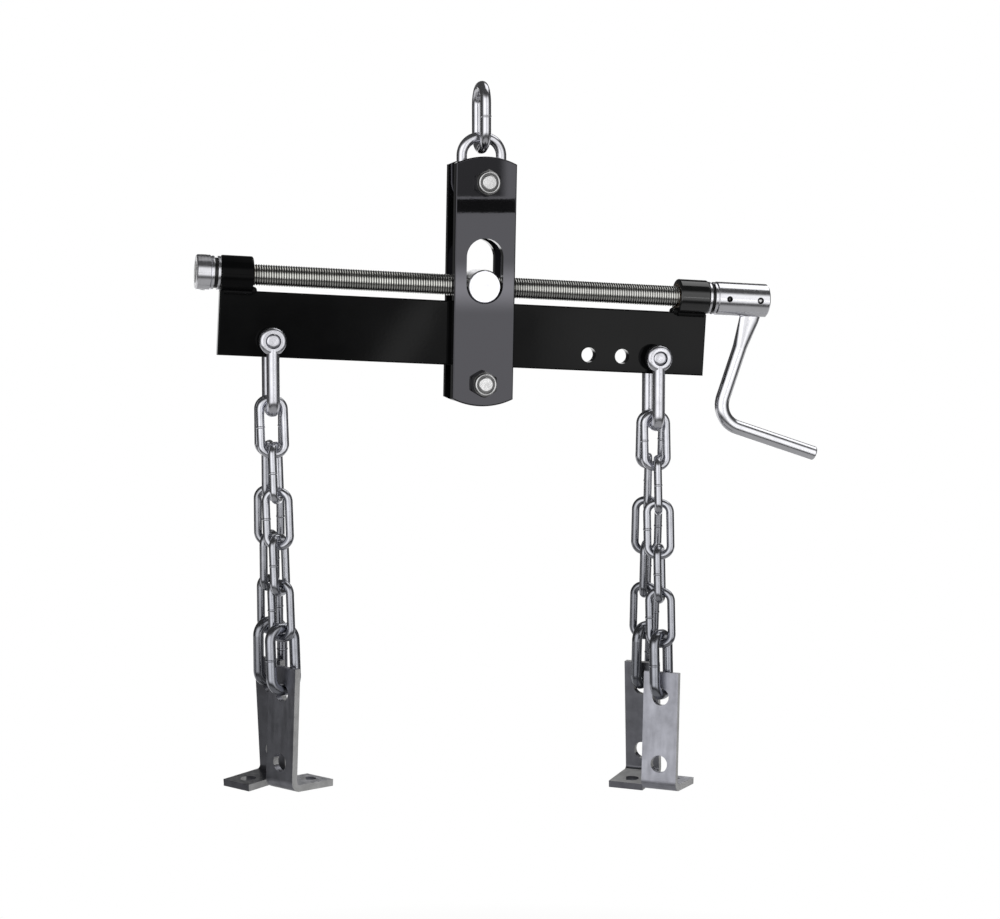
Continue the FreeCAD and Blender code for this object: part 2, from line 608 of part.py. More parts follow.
def chain_pieces():
    """Both shackles with their pins, and the four chains with their brackets."""
    links = [oval_link(*sizes) for sizes in CHAIN_LINKS]
    strap = bracket()
    shapes = {}
    for side in SIDES:
        shapes[side + "_shackle"] = placed(shackle(), shackle_frame(side))
        shapes[side + "_shackle_pin"] = placed(shackle_pin(), shackle_frame(side))
        for face in FACES:
            *link_frames, strap_frame = chain_frames(side, face)
            for number, (link, frame) in enumerate(zip(links, link_frames), 1):
                shapes["%s_%s_link_%d" % (side, face, number)] = placed(link, frame)
            shapes["%s_%s_bracket" % (side, face)] = placed(strap, strap_frame)
    return shapes


def main():
    """Write every piece to its own file."""
    os.makedirs("parts", exist_ok=True)
    for build in (hoist_pieces, beam_pieces, chain_pieces):
        for name, shape in build().items():
            shape.exportStep("parts/" + name + ".step")


main()
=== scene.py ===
"""Looks of the engine load leveler: finishes, screw thread, weld beads, pins, studio and camera.

Metres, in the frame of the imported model: X along the beam to the crank, Y away, Z up.
"""
import json
import math

import bmesh
import bpy
from mathutils import Matrix, Vector

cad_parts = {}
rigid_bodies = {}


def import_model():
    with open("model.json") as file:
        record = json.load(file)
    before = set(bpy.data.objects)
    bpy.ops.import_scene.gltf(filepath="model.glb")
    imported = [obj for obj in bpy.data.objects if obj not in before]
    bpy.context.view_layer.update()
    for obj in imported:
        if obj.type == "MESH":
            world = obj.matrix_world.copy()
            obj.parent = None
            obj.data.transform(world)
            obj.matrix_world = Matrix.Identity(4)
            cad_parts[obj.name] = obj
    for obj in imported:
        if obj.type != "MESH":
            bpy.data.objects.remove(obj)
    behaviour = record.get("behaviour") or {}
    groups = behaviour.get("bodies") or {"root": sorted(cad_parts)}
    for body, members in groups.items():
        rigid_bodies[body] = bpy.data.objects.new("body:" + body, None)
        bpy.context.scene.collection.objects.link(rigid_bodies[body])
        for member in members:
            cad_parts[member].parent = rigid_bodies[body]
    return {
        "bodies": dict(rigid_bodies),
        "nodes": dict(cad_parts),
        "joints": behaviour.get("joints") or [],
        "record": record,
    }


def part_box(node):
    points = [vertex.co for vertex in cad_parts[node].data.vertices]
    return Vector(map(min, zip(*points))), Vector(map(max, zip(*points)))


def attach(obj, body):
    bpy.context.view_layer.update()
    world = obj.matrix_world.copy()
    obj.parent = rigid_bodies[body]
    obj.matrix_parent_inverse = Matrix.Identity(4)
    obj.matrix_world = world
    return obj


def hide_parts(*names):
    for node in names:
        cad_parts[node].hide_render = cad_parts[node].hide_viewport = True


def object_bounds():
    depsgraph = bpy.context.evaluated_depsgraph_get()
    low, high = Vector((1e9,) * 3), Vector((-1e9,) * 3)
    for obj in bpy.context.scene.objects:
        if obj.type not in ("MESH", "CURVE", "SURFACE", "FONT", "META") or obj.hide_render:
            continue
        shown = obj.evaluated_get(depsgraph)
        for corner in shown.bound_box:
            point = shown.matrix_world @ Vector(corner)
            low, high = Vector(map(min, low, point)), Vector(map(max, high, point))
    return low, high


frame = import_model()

cad_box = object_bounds()
MM = 0.001
joints = {joint["name"]: joint for joint in frame["joints"]}

# Screw thread
THREAD_PITCH = 2.0 * MM
THREAD_DEPTH = 0.9 * MM
THREAD_RINGS = 6            # rings of points in one turn of thread
THREAD_SIDES = 32
THREAD_FLAT = 0.22          # share of half a turn at the root
THREAD_FLANK = 0.46         # share of half a turn on a flank
SCREW_CHAMFER = 1.5 * MM

# Weld beads, rims and pin ends
LINK_BEAD_RAISE = 0.35 * MM
LINK_BEAD_HALF = 1.1 * MM
TUBE_BEAD_RADIUS = 2.1 * MM
TUBE_FILLET_RADIUS = 3.2 * MM  # across the beam's top edge, at the inner end of a tube
TUBE_BEAD_RIPPLE = 2.6 * MM  # from one ripple to the next
TUBE_BEAD_START = 2.0 * MM  # from a tube's outer end to its welds
BEAD_PROUD = 0.5            # shares of a bead's radius that it stands off the beam,
BEAD_SINK = 0.45            # lies below the tube,
FILLET_SHIFT = 0.15         # reaches past the tube's inner end
FILLET_LIFT = 0.1           # and lies over the beam's top edge
BEAD_SWELL = (0.82, 0.18)   # least share of the radius, and what a ripple adds
BEAD_END = 0.35
BEAD_STEP = 0.5 * MM
BEAD_SIDES = 14
SIDES_ROUND = 28
NUT_RIM_RADIUS = 7.9 * MM
NUT_RIM_WIRE = 0.9 * MM
RIM_STEPS = 48              # rings round a nut's rim
RIM_SIDES = 12
PIN_DOME = 0.3 * MM
PIN_CHAMFER = 0.8 * MM
TOP_LINKS = ("hook_link", "ring_link")
PAINTED_HIGHLIGHT_FOOT = "right_rear_bracket"  # the top of this foot takes the paler sheared finish as a painted highlight
FACES_ALONG = 0.9           # least cosine between a face's normal and a direction that it counts for

# Scales of the patterns in the finishes, per metre, and heights of their relief
CLOUD_SCALE = 90.0
PEEL_SCALE = 420.0
HAZE_SCALE = 28.0
STAIN_SCALE = 34.0
GRAIN_HEIGHT = 0.08 * MM
PEEL_HEIGHT = 0.1 * MM

# Camera, as the photograph was taken
CAMERA_AZIMUTH = -13.0
CAMERA_ELEVATION = 5.5
CAMERA_DISTANCE = 1.815
CAMERA_LENS = 81.0
CAMERA_AIM = Vector((0.01005, -0.02284, -0.29483))

FLOOR_DROP = 0.45           # the leveler hangs this far above the floor
FLOOR_REACH = 3.5
FLOOR_SIDES = 96
FLOOR_TONE = 0.86
FLOOR_FADE = (0.3, 1.2)     # distances between which the floor turns white

# Studio: panels by heading from the front and by rise, as the metal shows them
ROOM_LEVEL = 0.06
FRONT_HEADINGS = (math.radians(-66.0), math.radians(46.0))
FRONT_EDGE = math.radians(52.0)
FRONT_RISE = (-0.34, 0.54)
RISE_EDGE = 0.28
FRONT_LEVEL = 1.45
GAP_HEADINGS = (math.radians(-14.0), math.radians(26.0))  # the dimmer gap between two front panels
GAP_EDGE = math.radians(20.0)
GAP_DIM = 0.4
TOP_ACROSS = (0.19, 0.75)
TOP_BACK = (-0.16, 0.55)
TOP_EDGE = 0.08
TOP_RISE = (0.5, 0.6)
TOP_LEVEL = 1.3
GROUND_FALL = (0.55, 0.75)
GROUND_LEVEL = 0.3
BACKDROP_REACH = math.radians(22.0)
YOKE_HEADINGS = (math.radians(11.3), math.radians(14.0))  # what the yoke's face mirrors
YOKE_EDGE = math.radians(0.2)
BAR_RISE = (0.0132, 0.0193)         # dark bar across the front panel
BAR_EDGE = 0.0006
CORNER_RISE = (0.0198, 0.0208)      # the front panel is dim over this, left of the next headings
CORNER_HEADINGS = (math.radians(12.95), math.radians(13.25))
CORNER_DIM = 0.8
GLOW_RISE = (-0.026, -0.013)        # brighter patch
GLOW_EDGE = 0.012
GLOW_GAIN = 1.2
BEAM_HEADINGS = (math.radians(14.0), math.radians(20.5))  # what the right half of the beam mirrors
BEAM_EDGE = math.radians(3.0)
BEAM_RISE = (-0.062, -0.022)
BEAM_RISE_EDGE = 0.02
BEAM_GAIN = 2.6
STREAK_HEADINGS = (math.radians(10.2), math.radians(11.2))  # slanting sheen left of the yoke
STREAK_EDGE = math.radians(0.9)
STREAK_SLANT = math.radians(37.0)   # turn of the sheen over a rise of 1
STREAK_GAIN = 2.4
SHADE_HEADINGS = (math.radians(3.0), math.radians(9.4))  # darker left half of the beam
SHADE_EDGE = math.radians(2.0)
SHADE_DIM = 0.75
REAR_TURN = (math.radians(85.0), math.radians(115.0))  # pale floor behind, as metal shows it from the back
REAR_RISE = (-0.64, -0.2)
REAR_EDGE = 0.08
REAR_LEVEL = 0.6
DIFFUSE_LEVEL = 0.75


def tree_of(name):
    """A new node material with its shader."""
    material = bpy.data.materials.new(name)
    material.use_nodes = True
    return material, material.node_tree, material.node_tree.nodes["Principled BSDF"]


def coordinates(tree, stretch=(1.0, 1.0, 1.0)):
    """Coordinates fixed to the piece, in metres, stretched along each axis."""
    source = tree.nodes.new("ShaderNodeTexCoord")
    mapping = tree.nodes.new("ShaderNodeMapping")
    mapping.inputs["Scale"].default_value = stretch
    tree.links.new(source.outputs["Object"], mapping.inputs["Vector"])
    return mapping.outputs["Vector"]


def noise(tree, vector, scale, detail=3.0, roughness=0.55):
    """Cloudy pattern from 0 to 1."""
    node = tree.nodes.new("ShaderNodeTexNoise")
    node.inputs["Scale"].default_value = scale
    node.inputs["Detail"].default_value = detail
    node.inputs["Roughness"].default_value = roughness
    tree.links.new(vector, node.inputs["Vector"])
    return node.outputs["Fac"]


def ramp(tree, factor, stops):
    """Colours over a factor, as (place, colour) pairs."""
    node = tree.nodes.new("ShaderNodeValToRGB")
    elements = node.color_ramp.elements
    while len(elements) < len(stops):
        elements.new(1.0)
    for element, (place, colour) in zip(elements, stops):
        element.position = place
        element.color = (*colour, 1.0)
    tree.links.new(factor, node.inputs["Fac"])
    return node.outputs["Color"]


def spread(tree, factor, low, high, start=0.3, end=0.7):
    """A number that runs from low to high over the middle of a pattern."""
    node = tree.nodes.new("ShaderNodeMapRange")
    node.inputs["From Min"].default_value = start
    node.inputs["From Max"].default_value = end
    node.inputs["To Min"].default_value = low
    node.inputs["To Max"].default_value = high
    tree.links.new(factor, node.inputs["Value"])
    return node.outputs["Result"]


def mixed(tree, factor, first, second, blend="MIX"):
    """Two colours mixed by a factor, which may be a number."""
    node = tree.nodes.new("ShaderNodeMix")
    node.data_type = "RGBA"
    node.blend_type = blend
    if isinstance(factor, float):
        node.inputs[0].default_value = factor
    else:
        tree.links.new(factor, node.inputs[0])
    tree.links.new(first, node.inputs[6])
    tree.links.new(second, node.inputs[7])
    return node.outputs[2]


def bump(tree, height, shader, strength, distance):
    """Fine relief on the shader."""
    node = tree.nodes.new("ShaderNodeBump")
    node.inputs["Strength"].default_value = strength
    node.inputs["Distance"].default_value = distance
    tree.links.new(height, node.inputs["Height"])
    tree.links.new(node.outputs["Normal"], shader.inputs["Normal"])


def grey(level, tint=(1.0, 1.0, 1.0)):
    """A grey with a slight tint."""
    return tuple(level * part for part in tint)


def metal(name, dark, light, rough, grain, stretch=(1.0, 1.0, 1.0), relief=0.15, tint=(1.0, 1.0, 1.0)):
    """Plated or polished steel with cloudy tone, uneven gloss and fine grain."""
    material, tree, shader = tree_of(name)
    shader.inputs["Metallic"].default_value = 1.0
    plain = coordinates(tree)
    drawn = coordinates(tree, stretch)
    clouds = noise(tree, plain, CLOUD_SCALE)
    fine = noise(tree, drawn, grain, detail=4.0)
    colour = ramp(tree, clouds, [(0.3, grey(dark, tint)), (0.72, grey(light, tint))])
    tree.links.new(colour, shader.inputs["Base Color"])
    tree.links.new(spread(tree, fine, rough[0], rough[1]), shader.inputs["Roughness"])
    if relief:
        bump(tree, fine, shader, relief, GRAIN_HEIGHT)
    return material, tree, shader


def enamel(name, level, rough, gloss, orange_peel=0.06, sheen=(1.0, 1.0, 1.0)):
    """Black enamel with a faint orange peel and dust that dulls it here and there."""
    material, tree, shader = tree_of(name)
    shader.inputs["Specular IOR Level"].default_value = gloss
    shader.inputs["Specular Tint"].default_value = (*sheen, 1.0)
    plain = coordinates(tree)
    peel = noise(tree, plain, PEEL_SCALE, detail=2.0)
    haze = noise(tree, plain, HAZE_SCALE, detail=5.0, roughness=0.65)
    clean = grey(level, (0.92, 0.94, 1.0))
    dusty = grey(1.7 * level, (0.95, 0.96, 1.0))
    colour = ramp(tree, haze, [(0.35, clean), (0.75, dusty)])
    tree.links.new(colour, shader.inputs["Base Color"])
    tree.links.new(spread(tree, haze, rough[0], rough[1]), shader.inputs["Roughness"])
    bump(tree, peel, shader, orange_peel, PEEL_HEIGHT)
    return material


def chain_metal(name, tone, top, low):
    """Zinc plated chain steel with painted shade that darkens it towards its lower end; a tone below 1
    darkens the whole copy as painted shade.
    """
    material, tree, shader = metal(name, 0.66 * tone, 0.80 * tone, (0.16, 0.26), 200.0, relief=0.0,
                                   tint=(0.93, 0.94, 1.0))
    plated = shader.inputs["Base Color"].links[0].from_socket
    source = tree.nodes.new("ShaderNodeTexCoord")
    parts = tree.nodes.new("ShaderNodeSeparateXYZ")
    tree.links.new(source.outputs["Object"], parts.inputs["Vector"])
    height = spread(tree, parts.outputs["Z"], 0.0, 1.0, low, top)
    # Painted shade: the base colour darkens towards the lower end of the chain.
    painted_low_shade = ramp(tree, height, [(0.0, grey(0.46, (0.94, 0.96, 1.0))), (0.75, grey(1.0))])
    tree.links.new(mixed(tree, 1.0, plated, painted_low_shade, "MULTIPLY"), shader.inputs["Base Color"])
    return material


def bracket_metal(name, dark, light):
    """Dull zinc strap with rolling streaks, stains and scuffs."""
    material, tree, shader = metal(name, dark, light, (0.30, 0.48), 260.0, (1.0, 1.0, 0.12), relief=0.3,
                                   tint=(0.89, 0.90, 1.0))
    plated = shader.inputs["Base Color"].links[0].from_socket
    stains = noise(tree, coordinates(tree), STAIN_SCALE, detail=6.0, roughness=0.7)
    tone = ramp(tree, stains, [(0.32, grey(0.8)), (0.6, grey(1.0))])
    tree.links.new(mixed(tree, 1.0, plated, tone, "MULTIPLY"), shader.inputs["Base Color"])
    return material


def sheared_metal(name):
    """Raw sheared steel, which scatters light."""
    material, tree, shader = metal(name, 0.26, 0.36, (0.45, 0.6), 300.0, relief=0.2)
    shader.inputs["Metallic"].default_value = 0.25
    return material


def along_beam():
    """Frame of the screw: its origin on the axis, X along it and Y across the beam."""
    spin = joints["screw_spin"]
    axis = Vector(spin["axis"]).normalized()
    across = Vector((0.0, 1.0, 0.0))
    up = axis.cross(across).normalized()
    turn = Matrix((axis, across, up)).transposed().to_4x4()
    return Matrix.Translation(Vector(spin["pos_m"])) @ turn


BEAM_FRAME = along_beam()


def reach_along(node):
    """Lowest and highest corner of a node in the beam's frame."""
    back = BEAM_FRAME.inverted()
    points = [back @ vertex.co for vertex in frame["nodes"][node].data.vertices]
    low = Vector(map(min, zip(*points)))
    high = Vector(map(max, zip(*points)))
    return low, high


def screw_metal(name):
    """Bright screw steel, with painted shade that darkens the roots of the thread."""
    material, tree, shader = metal(name, 0.74, 0.88, (0.14, 0.24), 500.0, tint=(1.0, 1.0, 0.96))
    bare = shader.inputs["Base Color"].links[0].from_socket
    source = tree.nodes.new("ShaderNodeTexCoord")
    turn = tree.nodes.new("ShaderNodeMapping")
    back = BEAM_FRAME.inverted()
    turn.inputs["Location"].default_value = back.translation
    turn.inputs["Rotation"].default_value = back.to_euler()
    flat = tree.nodes.new("ShaderNodeVectorMath")
    flat.operation = "MULTIPLY"
    flat.inputs[1].default_value = (0.0, 1.0, 1.0)
    length = tree.nodes.new("ShaderNodeVectorMath")
    length.operation = "LENGTH"
    tree.links.new(source.outputs["Object"], turn.inputs["Vector"])
    tree.links.new(turn.outputs["Vector"], flat.inputs[0])
    tree.links.new(flat.outputs["Vector"], length.inputs[0])
    top = reach_along("screw")[1].z
    height = spread(tree, length.outputs["Value"], 0.0, 1.0, top - THREAD_DEPTH, top)
    # Painted shade: the base colour darkens towards the roots of the thread.
    painted_root_shade = ramp(tree, height, [(0.15, grey(0.26)), (0.85, grey(1.0))])
    tree.links.new(mixed(tree, 1.0, bare, painted_root_shade, "MULTIPLY"), shader.inputs["Base Color"])
    return material


def new_piece(name, mesh_builder, place, material, body):
    """A mesh object from a bmesh, in its place, with its finish and its body."""
    mesh = bpy.data.meshes.new(name)
    bmesh.ops.recalc_face_normals(mesh_builder, faces=mesh_builder.faces)
    mesh_builder.to_mesh(mesh)
    mesh_builder.free()
    mesh.transform(place)
    mesh.materials.append(material)
    for polygon in mesh.polygons:
        polygon.use_smooth = True
    piece = bpy.data.objects.new(name, mesh)
    bpy.context.scene.collection.objects.link(piece)
    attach(piece, body)
    return piece


def skin(rings, closed_ends=True, closed_loop=False):
    """Mesh through rings of points, capped at both ends or joined into a loop."""
    shape = bmesh.new()
    layers = [[shape.verts.new(point) for point in ring] for ring in rings]
    pairs = list(zip(layers, layers[1:]))
    if closed_loop:
        pairs.append((layers[-1], layers[0]))
    for here, there in pairs:
        count = len(here)
        for i in range(count):
            after = (i + 1) % count
            shape.faces.new((here[i], here[after], there[after], there[i]))
    if closed_ends and not closed_loop:
        shape.faces.new(layers[0])
        shape.faces.new(layers[-1])
    return shape


def circle_x(x, radius, sides):
    """Points round the X axis."""
    return [Vector((x, radius * math.cos(a), radius * math.sin(a)))
            for a in (2 * math.pi * i / sides for i in range(sides))]


def thread_height(turn):
    """Height of a thread over its root, from 0 to 1, along one turn."""
    phase = abs((turn % 1.0) - 0.5) * 2
    return min(1.0, max(0.0, (phase - THREAD_FLAT) / THREAD_FLANK))


def screw_piece(material):
    """The screw with a real helical thread between its plain ends."""
    low, high = reach_along("screw")
    radius = high.z
    start = reach_along("left_bearing_tube")[1].x - THREAD_PITCH
    end = reach_along("right_bearing_tube")[0].x + THREAD_PITCH
    rings = [circle_x(low.x, radius - SCREW_CHAMFER, THREAD_SIDES),
             circle_x(low.x + SCREW_CHAMFER, radius, THREAD_SIDES),
             circle_x(start - THREAD_PITCH / 2, radius, THREAD_SIDES)]
    step = THREAD_PITCH / THREAD_RINGS
    for k in range(round((end - start) / step) + 1):
        x = start + k * step
        ring = []
        for i in range(THREAD_SIDES):
            share = i / THREAD_SIDES
            depth = THREAD_DEPTH * (1.0 - thread_height(x / THREAD_PITCH - share))
            angle = 2 * math.pi * share
            reach = radius - depth
            ring.append(Vector((x, reach * math.cos(angle), reach * math.sin(angle))))
        rings.append(ring)
    rings.append(circle_x(end + THREAD_PITCH / 2, radius, THREAD_SIDES))
    rings.append(circle_x(high.x - SCREW_CHAMFER, radius, THREAD_SIDES))
    rings.append(circle_x(high.x, radius - SCREW_CHAMFER, THREAD_SIDES))
    piece = new_piece("threaded_screw", skin(rings), BEAM_FRAME, material, "screw")
    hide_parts("screw")


def bead_ring(radius):
    """Raised ring of weld flash round a bar along X."""
    profile = [(-1.0, -0.4), (-0.75, 0.35), (-0.35, 0.85), (0.0, 1.0),
               (0.35, 0.8), (0.75, 0.3), (1.0, -0.4)]
    rings = [circle_x(share * LINK_BEAD_HALF, radius + raised * LINK_BEAD_RAISE, SIDES_ROUND)
             for share, raised in profile]
    return skin(rings)


def link_beads():
    """A weld bead on one leg of every link."""
    below = {joint["parent"]: joint for joint in frame["joints"]}
    for name in frame["bodies"]:
        if "link" not in name:
            continue
        node = frame["nodes"][name]
        low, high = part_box(name)
        centre = (low + high) / 2
        side = Vector(below[name]["axis"]).normalized()
        if name in TOP_LINKS:
            wide = high.x - low.x > high.y - low.y
            side = Vector((1.0, 0.0, 0.0)) if wide else Vector((0.0, 1.0, 0.0))
        points = [vertex.co - centre for vertex in node.data.vertices]
        half_width = max(point.dot(side) for point in points)
        length_way = max(points, key=lambda point: point.length)
        length_way = (length_way - side * length_way.dot(side)).normalized()
        normal = side.cross(length_way)
        wire = max(point.dot(normal) for point in points)
        way = 1 if name.endswith(("1", "4", "5", "ring_link")) else -1
        spot = centre + side * (way * (half_width - wire))
        place = Matrix.Translation(spot) @ Matrix((length_way, side, normal)).transposed().to_4x4()
        slot = "zinc_link" if name in TOP_LINKS else "chain_steel"
        new_piece(name + "_bead", bead_ring(wire), place, finish_of(name, slot), name)


def ripple_bead(path, radius):
    """Row of weld ripples along a path of points."""
    rings = []
    length = 0.0
    for i, point in enumerate(path):
        if i:
            length += (point - path[i - 1]).length
        ahead = path[min(i + 1, len(path) - 1)] - path[max(i - 1, 0)]
        ahead.normalize()
        out = ahead.cross(Vector((0.0, 0.0, 1.0))).normalized()
        up = out.cross(ahead)
        swell = BEAD_SWELL[0] + BEAD_SWELL[1] * abs(math.sin(math.pi * length / TUBE_BEAD_RIPPLE))
        if i in (0, len(path) - 1):
            swell = BEAD_END
        rings.append([point + (out * math.cos(a) + up * math.sin(a)) * (radius * swell)
                      for a in (2 * math.pi * k / BEAD_SIDES for k in range(BEAD_SIDES))])
    return skin(rings)


def tube_welds(material):
    """Weld beads that join each bearing tube to the beam, along both faces and over the top edge."""
    beam_low, beam_high = reach_along("beam")
    for side, way in (("left", 1), ("right", -1)):
        low, high = reach_along(side + "_bearing_tube")
        radius = high.z
        outer, inner = (low.x, high.x) if way > 0 else (high.x, low.x)
        y = beam_high.y + BEAD_PROUD * TUBE_BEAD_RADIUS
        z = -math.sqrt(radius ** 2 - y ** 2) - BEAD_SINK * TUBE_BEAD_RADIUS
        seams = []
        for face, hand in (("front", -1), ("rear", 1)):
            start = Vector((outer + way * TUBE_BEAD_START, hand * y, z))
            seams.append((face + "_weld", TUBE_BEAD_RADIUS, start, Vector((inner, hand * y, z))))
        fillet_x = inner + way * FILLET_SHIFT * TUBE_FILLET_RADIUS
        fillet_z = beam_high.z + FILLET_LIFT * TUBE_FILLET_RADIUS
        seams.append(("fillet", TUBE_FILLET_RADIUS,
                      Vector((fillet_x, -y, fillet_z)), Vector((fillet_x, y, fillet_z))))
        for name, bead, start, end in seams:
            steps = round((end - start).length / BEAD_STEP)
            path = [start.lerp(end, k / steps) for k in range(steps + 1)]
            shape = ripple_bead(path, bead)
            new_piece(side + "_tube_" + name, shape, BEAM_FRAME, material, "beam")


def body_of(node):
    """Body that carries a node."""
    bodies = frame["record"]["behaviour"]["bodies"]
    return next(body for body, nodes in bodies.items() if node in nodes)


def nut_rims(material):
    """Bright pressed rim round the end of each yoke nut."""
    points = [vertex.co for vertex in frame["nodes"]["yoke_nuts"].data.vertices]
    front = min(point.y for point in points)
    middle = (min(point.z for point in points) + max(point.z for point in points)) / 2
    for name, side in (("upper", 1), ("lower", -1)):
        nut = [point for point in points if (point.z - middle) * side > 0]
        x, z = ((min(values) + max(values)) / 2 for values in zip(*((point.x, point.z) for point in nut)))
        rings = []
        for a in (2 * math.pi * i / RIM_STEPS for i in range(RIM_STEPS)):
            out = Vector((math.cos(a), 0.0, math.sin(a)))
            rings.append([Vector((x, front, z)) + out * (NUT_RIM_RADIUS + NUT_RIM_WIRE * math.cos(b))
                          + Vector((0.0, NUT_RIM_WIRE * math.sin(b), 0.0))
                          for b in (2 * math.pi * k / RIM_SIDES for k in range(RIM_SIDES))])
        rim = skin(rings, closed_loop=True)
        body = body_of("yoke_nuts")
        new_piece(name + "_nut_rim", rim, Matrix.Identity(4), material, body)


def pin_piece(node, slim, recess, material):
    """A pin with chamfered and slightly domed ends, just inside the faces around it."""
    low, high = reach_along(node)
    radius = (high.x - low.x) / 2 - slim
    half = (high.y - low.y) / 2 - recess
    ends = [(half, 0.3 * radius), (half - 0.4 * PIN_DOME, 0.65 * radius),
            (half - PIN_DOME, radius - PIN_CHAMFER), (half - PIN_DOME - PIN_CHAMFER, radius)]
    rings = [circle_x(along, size, SIDES_ROUND) for along, size in ends]
    rings += [circle_x(-along, size, SIDES_ROUND) for along, size in reversed(ends)]
    place = BEAM_FRAME @ Matrix.Translation((low + high) / 2) @ Matrix.Rotation(math.pi / 2, 4, "Z")
    piece = new_piece(node + "_end", skin(rings), place, material, body_of(node))
    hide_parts(node)


def camera_back():
    """Direction from the object to the camera."""
    turn = math.radians(CAMERA_AZIMUTH)
    rise = math.radians(CAMERA_ELEVATION)
    return Vector((math.sin(turn) * math.cos(rise), -math.cos(turn) * math.cos(rise), math.sin(rise)))


def studio_world():
    """White background, with soft panels in front and above that the metal shows."""
    world = bpy.data.worlds.new("studio")
    bpy.context.scene.world = world
    world.use_nodes = True
    tree = world.node_tree
    background = tree.nodes["Background"]
    background.inputs["Color"].default_value = (1.0, 1.0, 1.0, 1.0)
    source = tree.nodes.new("ShaderNodeTexCoord")
    parts = tree.nodes.new("ShaderNodeSeparateXYZ")
    tree.links.new(source.outputs["Generated"], parts.inputs["Vector"])
    x, y, z = parts.outputs

    def combine(first, second, operation):
        node = tree.nodes.new("ShaderNodeMath")
        node.operation = operation
        for socket, value in zip(node.inputs, (first, second)):
            if isinstance(value, float):
                socket.default_value = value
            else:
                tree.links.new(value, socket)
        return node.outputs["Value"]

    def rise(value, start, end):
        step = tree.nodes.new("ShaderNodeMapRange")
        step.interpolation_type = "SMOOTHSTEP"
        step.inputs["From Min"].default_value = start
        step.inputs["From Max"].default_value = end
        tree.links.new(value, step.inputs["Value"])
        return step.outputs["Result"]

    def window(value, start, end, edge):
        opened = rise(value, start - edge / 2, start + edge / 2)
        closed = rise(value, end - edge / 2, end + edge / 2)
        return combine(opened, closed, "SUBTRACT")

    def product(*values):
        total = values[0]
        for value in values[1:]:
            total = combine(total, value, "MULTIPLY")
        return total

    heading = combine(x, combine(0.0, y, "SUBTRACT"), "ARCTAN2")
    mirrored = window(heading, *YOKE_HEADINGS, YOKE_EDGE)
    beside_yoke = combine(1.0, mirrored, "SUBTRACT")
    gap = product(window(heading, *GAP_HEADINGS, GAP_EDGE), GAP_DIM, beside_yoke)
    middle = combine(1.0, gap, "SUBTRACT")
    wide = window(heading, *FRONT_HEADINGS, FRONT_EDGE)
    front = product(wide, window(z, *FRONT_RISE, RISE_EDGE), middle, FRONT_LEVEL)
    bar = window(z, *BAR_RISE, BAR_EDGE)
    left_part = combine(1.0, rise(heading, *CORNER_HEADINGS), "SUBTRACT")
    corner = product(rise(z, *CORNER_RISE), left_part, CORNER_DIM)
    glow = product(window(z, *GLOW_RISE, GLOW_EDGE), GLOW_GAIN)
    change = combine(glow, combine(bar, corner, "ADD"), "SUBTRACT")
    front = product(front, combine(1.0, product(mirrored, change), "ADD"))
    on_beam = product(window(z, *BEAM_RISE, BEAM_RISE_EDGE), beside_yoke)
    right_sheen = product(window(heading, *BEAM_HEADINGS, BEAM_EDGE), BEAM_GAIN)
    slanted = combine(heading, product(z, STREAK_SLANT), "SUBTRACT")
    streak = [value - STREAK_SLANT * sum(BEAM_RISE) / 2 for value in STREAK_HEADINGS]
    left_sheen = product(window(slanted, *streak, STREAK_EDGE), STREAK_GAIN)
    shade = product(window(heading, *SHADE_HEADINGS, SHADE_EDGE), SHADE_DIM)
    sheen = product(on_beam, combine(combine(right_sheen, left_sheen, "ADD"), shade, "SUBTRACT"))
    front = product(front, combine(1.0, sheen, "ADD"))
    top_patch = product(window(x, *TOP_ACROSS, TOP_EDGE), window(y, *TOP_BACK, TOP_EDGE))
    above = product(top_patch, rise(z, *TOP_RISE), TOP_LEVEL)
    ground = product(rise(combine(0.0, z, "SUBTRACT"), *GROUND_FALL), GROUND_LEVEL)
    behind = rise(combine(heading, 0.0, "ABSOLUTE"), *REAR_TURN)
    rear = product(behind, window(z, *REAR_RISE, REAR_EDGE), REAR_LEVEL)
    dot = tree.nodes.new("ShaderNodeVectorMath")
    dot.operation = "DOT_PRODUCT"
    dot.inputs[1].default_value = -camera_back()
    tree.links.new(source.outputs["Generated"], dot.inputs[0])
    backdrop = rise(dot.outputs["Value"], math.cos(BACKDROP_REACH), math.cos(0.9 * BACKDROP_REACH))
    level = ROOM_LEVEL
    for panel in (front, above, ground, rear, backdrop):
        level = combine(level, panel, "ADD")
    rays = tree.nodes.new("ShaderNodeLightPath")
    shiny = combine(rays.outputs["Is Glossy Ray"], rays.outputs["Is Transmission Ray"], "MAXIMUM")
    diffuse = combine(1.0, shiny, "SUBTRACT")
    seen = combine(product(level, shiny), product(diffuse, DIFFUSE_LEVEL), "ADD")
    lens = rays.outputs["Is Camera Ray"]
    seen = combine(product(seen, combine(1.0, lens, "SUBTRACT")), lens, "ADD")
    tree.links.new(seen, background.inputs["Strength"])


def lamp(name, size, size_y, power, place, aim):
    """Soft rectangular lamp."""
    data = bpy.data.lights.new(name, "AREA")
    data.shape = "RECTANGLE"
    data.size = size
    data.size_y = size_y
    data.energy = power
    item = bpy.data.objects.new(name, data)
    item.location = place
    item.rotation_mode = "QUATERNION"
    item.rotation_quaternion = (Vector(aim) - Vector(place)).to_track_quat("-Z", "Y")
    item.visible_glossy = False
    bpy.context.scene.collection.objects.link(item)


